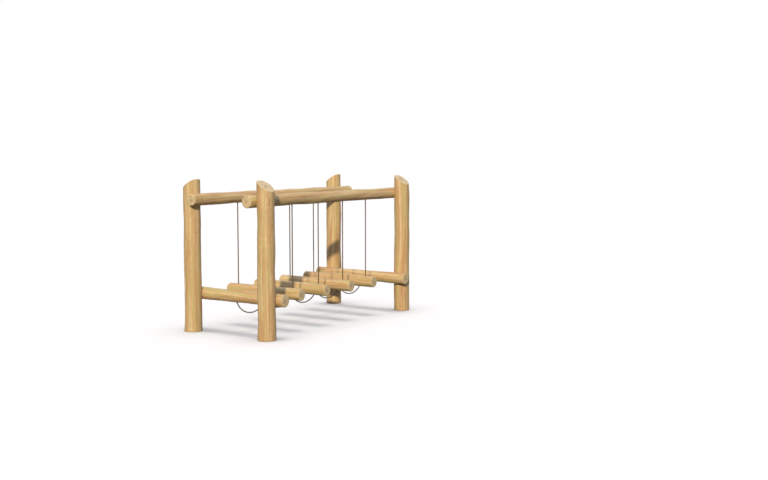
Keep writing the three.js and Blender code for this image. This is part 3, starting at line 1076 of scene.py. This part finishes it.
def ferrule_mesh(name):
    """A swaged sleeve with worn edges, from one end to the other and back through its bore."""
    low = [(FERRULE_BORE + FERRULE_BORE_BEVEL, 0.0)]
    low += [(FERRULE_RADIUS - inset, z) for inset, z in FERRULE_EDGE]
    high = [(radius, FERRULE_LENGTH - z) for radius, z in reversed(low)]
    levels = np.linspace(FERRULE_EDGE_HEIGHT, FERRULE_LENGTH - FERRULE_EDGE_HEIGHT, FERRULE_ROWS)
    side = [(FERRULE_RADIUS, z) for z in levels]
    bore = [(FERRULE_BORE, FERRULE_LENGTH - FERRULE_BORE_EDGE), (FERRULE_BORE, FERRULE_BORE_EDGE)]
    outside = turned_rows(low + side + high, FERRULE_COLUMNS, press_marks)
    inside = turned_rows(bore, FERRULE_COLUMNS)
    return grid_mesh(name, np.concatenate([outside, inside]), closed=True)


def flutes(angle, z):
    """Shallow glue flutes along the sides of a plug, which fade out at its face."""
    grooves = 0.5 + 0.5 * np.cos(PLUG_FLUTES * angle)
    return 1 - FLUTE_DEPTH * grooves * smooth((z - FLUTE_START) / FLUTE_FADE)


def plug_mesh(name):
    """A plug with a slightly domed face and a tapered inner end."""
    face = [(PLUG_RADIUS * share, PLUG_CROWN * share**2) for share in PLUG_FACE]
    side = [(PLUG_RADIUS, z) for z in np.linspace(PLUG_EDGE, PLUG_LENGTH - PLUG_LEAD, PLUG_ROWS)]
    back = [(PLUG_RADIUS - PLUG_EDGE, PLUG_LENGTH)]
    rows = turned_rows(face + side + back, PLUG_COLUMNS, flutes)
    return grid_mesh(name, rows, (0, 0, 0), (0, 0, PLUG_LENGTH))


def screw_shape(angle, z):
    """The hexagon of a coach screw's head, and the thread along its shank."""
    sector = TURN / 6
    hexagon = math.cos(sector / 2) / np.cos(np.mod(angle, sector) - sector / 2)
    turns = np.mod(z / THREAD_PITCH - angle / TURN, 1)
    crest = smooth(1 - abs(2 * turns - 1) / THREAD_CREST)
    there = smooth((z - THREAD_START) / THREAD_PITCH)
    thread = 1 - THREAD_DEPTH * (1 - crest) * there
    return np.where(z < HEAD_HEIGHT - FLANGE_HEIGHT + 1e-6, hexagon, thread)


def screw_mesh(name):
    """A coach screw from the top of its head to its point."""
    collar = HEAD_HEIGHT - FLANGE_HEIGHT
    crown = [(share * HEX_RADIUS, z) for share, z in HEX_CROWN]
    hexagon = [(HEX_RADIUS, HEX_CHAMFER), (HEX_RADIUS, collar)]
    flange = [(FLANGE_RADIUS - inset, collar + z) for inset, z in FLANGE_FOOT]
    flange += [(FLANGE_RADIUS, HEAD_HEIGHT - FLANGE_EDGE), (FLANGE_RADIUS - FLANGE_EDGE, HEAD_HEIGHT)]
    plain = [(SCREW_RADIUS, z) for z in SCREW_PLAIN_ROWS]
    tip = SCREW_LENGTH - SCREW_POINT
    threaded = [(SCREW_RADIUS, z) for z in np.arange(THREAD_START, tip, THREAD_STEP)]
    shares = np.linspace(0, SCREW_BLUNT, SCREW_POINT_ROWS)
    point = [(SCREW_RADIUS * (1 - share), tip + SCREW_POINT * share) for share in shares]
    rows = turned_rows(crown + hexagon + flange + plain + threaded + point, SCREW_COLUMNS, screw_shape)
    return grid_mesh(name, rows, (0, 0, 0), (0, 0, SCREW_LENGTH))


def add_fitting(node, body, direction, make_mesh, material):
    """A small piece that stands for a CAD node. direction runs from its outer end inwards."""
    direction = Vector(direction)
    length = abs(size(node).dot(direction))
    mesh = make_mesh(node + "_detail")
    mark(mesh, "place", points_of(mesh))
    soften(mesh)
    mesh.materials.append(material)
    start = middle(node) - direction * length / 2
    piece = add_object(mesh.name, mesh, Matrix.Translation(start) @ facing(direction))
    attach(piece, body)
    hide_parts(node)


screw_steel = steel_material("zinc_steel", 0.34, 90)
ferrule_steel = steel_material("swaged_steel", 0.42, 160)
plug_wood = plug_material("plug_wood")

for end_name, end in ENDS.items():
    for side_name, side in SIDES.items():
        for timber, outward in (("rail", (0, side, 0)), ("cross", (end, 0, 0))):
            corner = f"{end_name}_{side_name}"
            add_fitting(f"{timber}_plug_{corner}", "frame", outward, plug_mesh, plug_wood)
            add_fitting(f"{timber}_screw_{corner}", "frame", outward, screw_mesh, screw_steel)

for number in range(1, LOG_COUNT + 1):
    for side_name in SIDES:
        for level, body, inward in (("upper", "frame", (0, 0, -1)), ("lower", f"log_{number}", (0, 0, 1))):
            node = f"{level}_ferrule_{number}_{side_name}"
            add_fitting(node, body, inward, ferrule_mesh, ferrule_steel)


# --- Floor and light ---

WHITE = (1.0, 1.0, 1.0)
KEY_AZIMUTH = math.radians(28.1)  # the way the light travels, from +X
KEY_ELEVATION = math.radians(22)
KEY_SPREAD = 1.6
KEY_STRENGTH = 3.1
KEY_COLOUR = (1.0, 0.88, 0.67)
FLOOR_STRENGTH = 1.72
OVERHEAD_STRENGTH = 0.35
BACK_STRENGTH = 1.0
BACK_COLOUR = (0.96, 0.97, 1.0)
BACK_ELEVATION = math.radians(35)
SOFT_SPREAD = 36
ZENITH = (0.48, 0.55, 0.72, 1)
HORIZON = (0.36, 0.43, 0.60, 1)
GROUND_LIGHT = (0.06, 0.06, 0.055, 1)
FLOOR_GLOW = 0.08
FLOOR_WHITE = (0.86, 0.80, 0.71, 1)
FLOOR_HALF = 60.0
HORIZON_BLUR = 0.15


def add_floor():
    corners = [(FLOOR_HALF * x, FLOOR_HALF * y, 0) for x, y in ((-1, -1), (1, -1), (1, 1), (-1, 1))]
    mesh = bpy.data.meshes.new("floor")
    mesh.from_pydata(corners, [], [(0, 1, 2, 3)])
    s = Shader("floor_white")
    diffuse = s.add("BsdfDiffuse", {"Color": FLOOR_WHITE})
    glow = s.add("Emission", {"Color": (1, 1, 1, 1), "Strength": FLOOR_GLOW})
    s.add_output("Material", s.add("AddShader", {0: diffuse, 1: glow}))
    mesh.materials.append(s.material)
    floor = add_object("floor", mesh)
    floor.visible_diffuse = False
    return floor


def add_lamp(name, travel, strength, spread, colour):
    """A distant lamp whose light travels along a direction."""
    light = bpy.data.lights.new(name, "SUN")
    light.energy = strength
    light.angle = math.radians(spread)
    light.color = colour
    lamp = add_object(name, light)
    lamp.rotation_euler = travel.to_track_quat("-Z", "Y").to_euler()
    return lamp


def add_lamps(floor):
    """A low warm key and a soft back lamp for the object, a lamp for the floor, and a weak one for both."""
    down = light_path(0, math.pi / 2)
    key = add_lamp("key", light_path(KEY_AZIMUTH, KEY_ELEVATION), KEY_STRENGTH, KEY_SPREAD, KEY_COLOUR)
    back_path = light_path(CAMERA_YAW + math.pi, BACK_ELEVATION)
    back = add_lamp("back", back_path, BACK_STRENGTH, SOFT_SPREAD, BACK_COLOUR)
    floor_lamp = add_lamp("floor_lamp", down, FLOOR_STRENGTH, SOFT_SPREAD, WHITE)
    add_lamp("overhead", down, OVERHEAD_STRENGTH, SOFT_SPREAD, WHITE)
    for lamp, state in ((key, "EXCLUDE"), (back, "EXCLUDE"), (floor_lamp, "INCLUDE")):
        receivers = bpy.data.collections.new(lamp.name + "_receivers")
        receivers.objects.link(floor)
        receivers.collection_objects[0].light_linking.link_state = state
        lamp.light_linking.receiver_collection = receivers


def add_sky():
    """A soft sky over a dim ground, and plain white wherever the camera sees past the object."""
    world = bpy.data.worlds.new("studio")
    bpy.context.scene.world = world
    world.use_nodes = True
    s = Nodes(world.node_tree)
    up = s.split(s.add("TexCoord", {}, "Generated"))[2]
    above = s.add("MapRange", {"Value": up, "From Min": -HORIZON_BLUR, "From Max": HORIZON_BLUR})
    dome = s.mix(above, GROUND_LIGHT, s.mix(up, HORIZON, ZENITH))
    shown = s.mix(s.add("LightPath", {}, "Is Camera Ray"), dome, (1, 1, 1, 1))
    s.add_output("World", s.add("Background", {"Color": shown}))


add_lamps(add_floor())
add_sky()
bpy.context.scene.view_settings.view_transform = "Standard"
